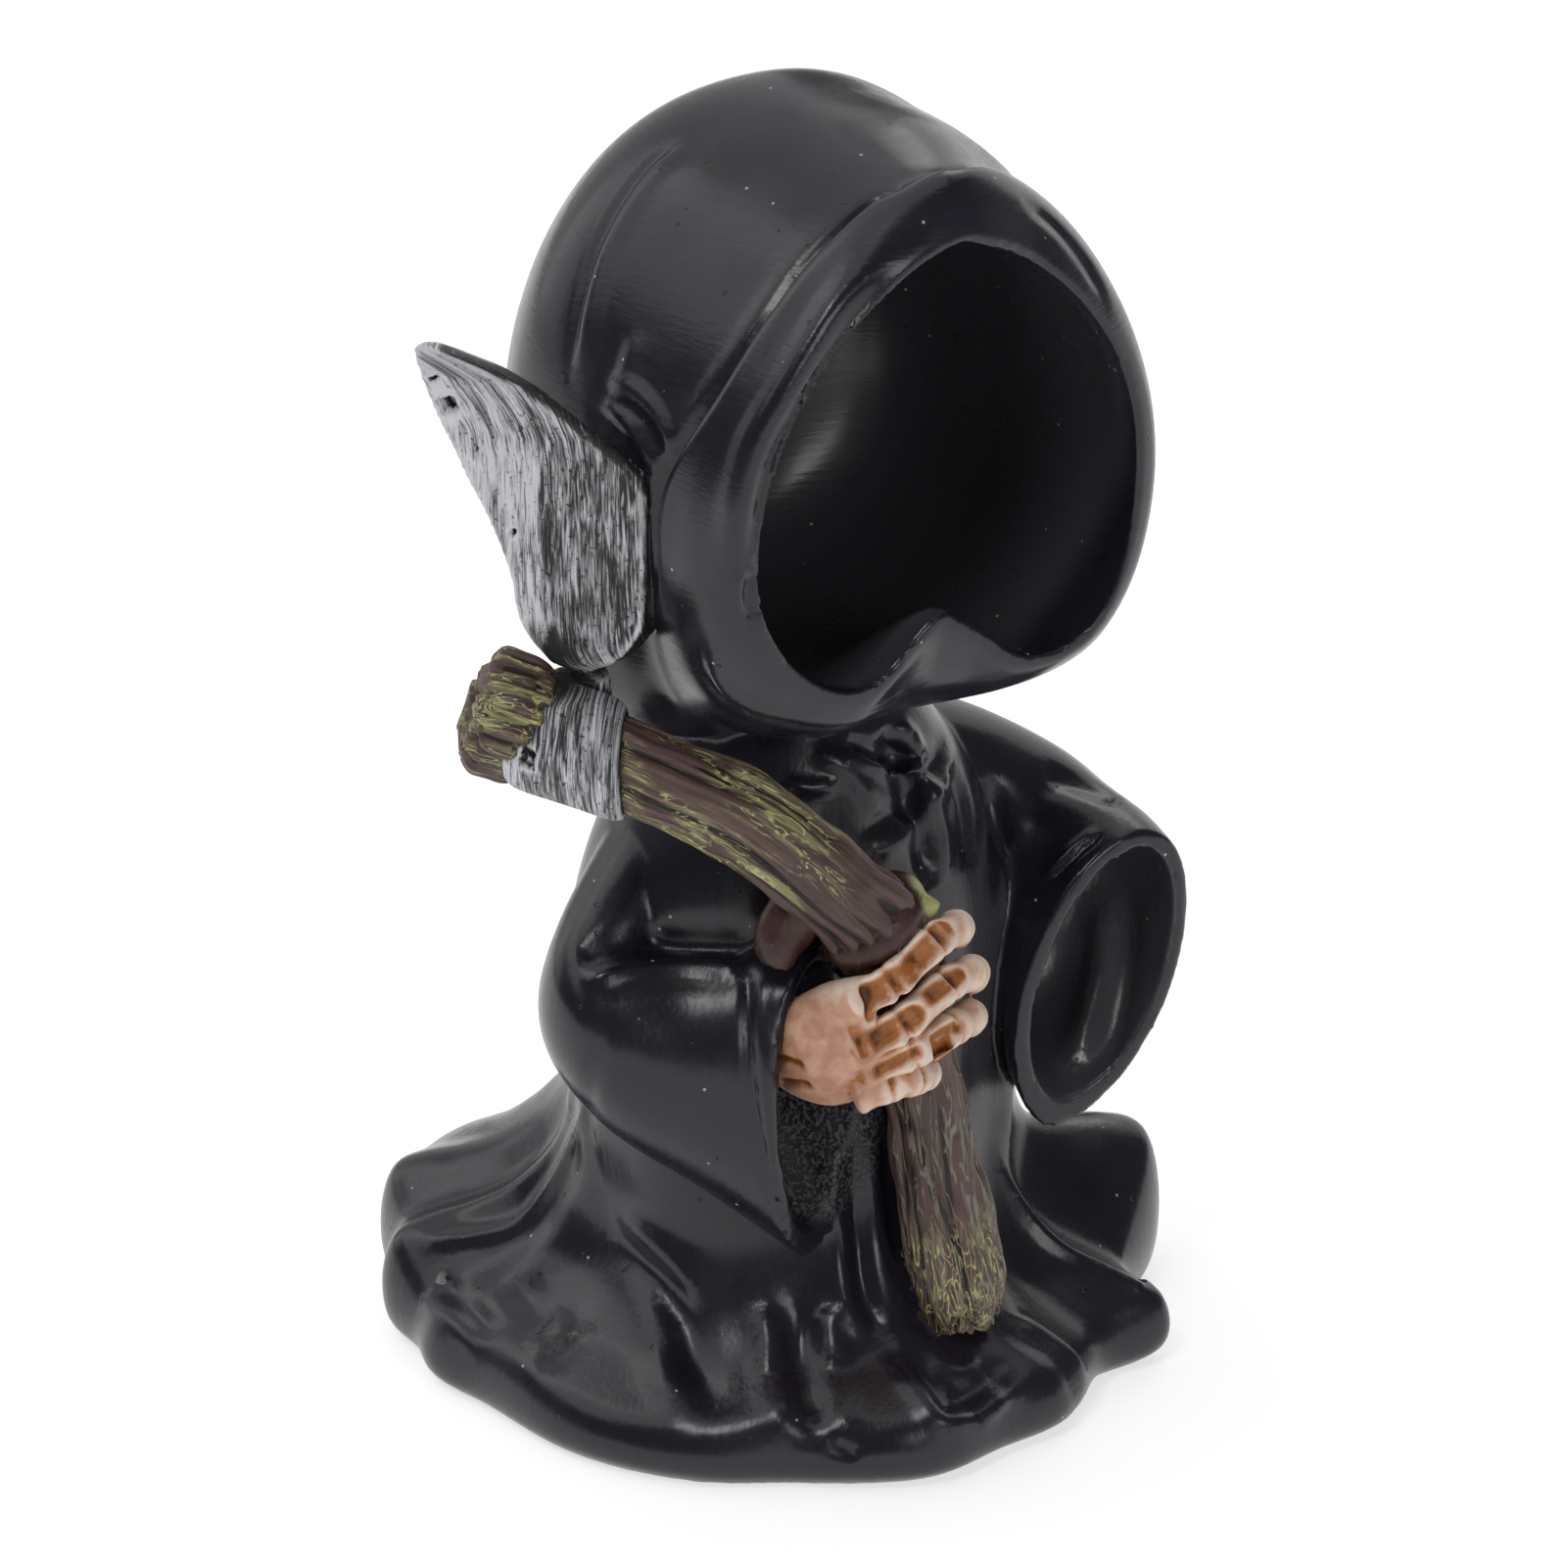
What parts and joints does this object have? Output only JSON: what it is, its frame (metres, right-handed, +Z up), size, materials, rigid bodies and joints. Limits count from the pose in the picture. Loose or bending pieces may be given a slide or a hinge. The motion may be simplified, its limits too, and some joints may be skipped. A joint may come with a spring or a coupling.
{
  "type": "hooded figurine",
  "caption": "Small standing reaper figurine with an empty hood, a flared robe, wide sleeves and a short scythe held in a bony hand.",
  "frame": {"origin": "middle of the robe's flat underside, on the floor", "axes": "+Z up; the figure faces -Y, so +X is the figure's left"},
  "size_m": [0.0667, 0.0578, 0.1039],
  "materials": {
    "painted_resin": "semi-gloss black paint on the robe, with bone, bark and silver colours brushed on the hand, the staff and the blade"
  },
  "bodies": {
    "root": {"reaper_figurine": "painted_resin"}
  },
  "joints": []
}
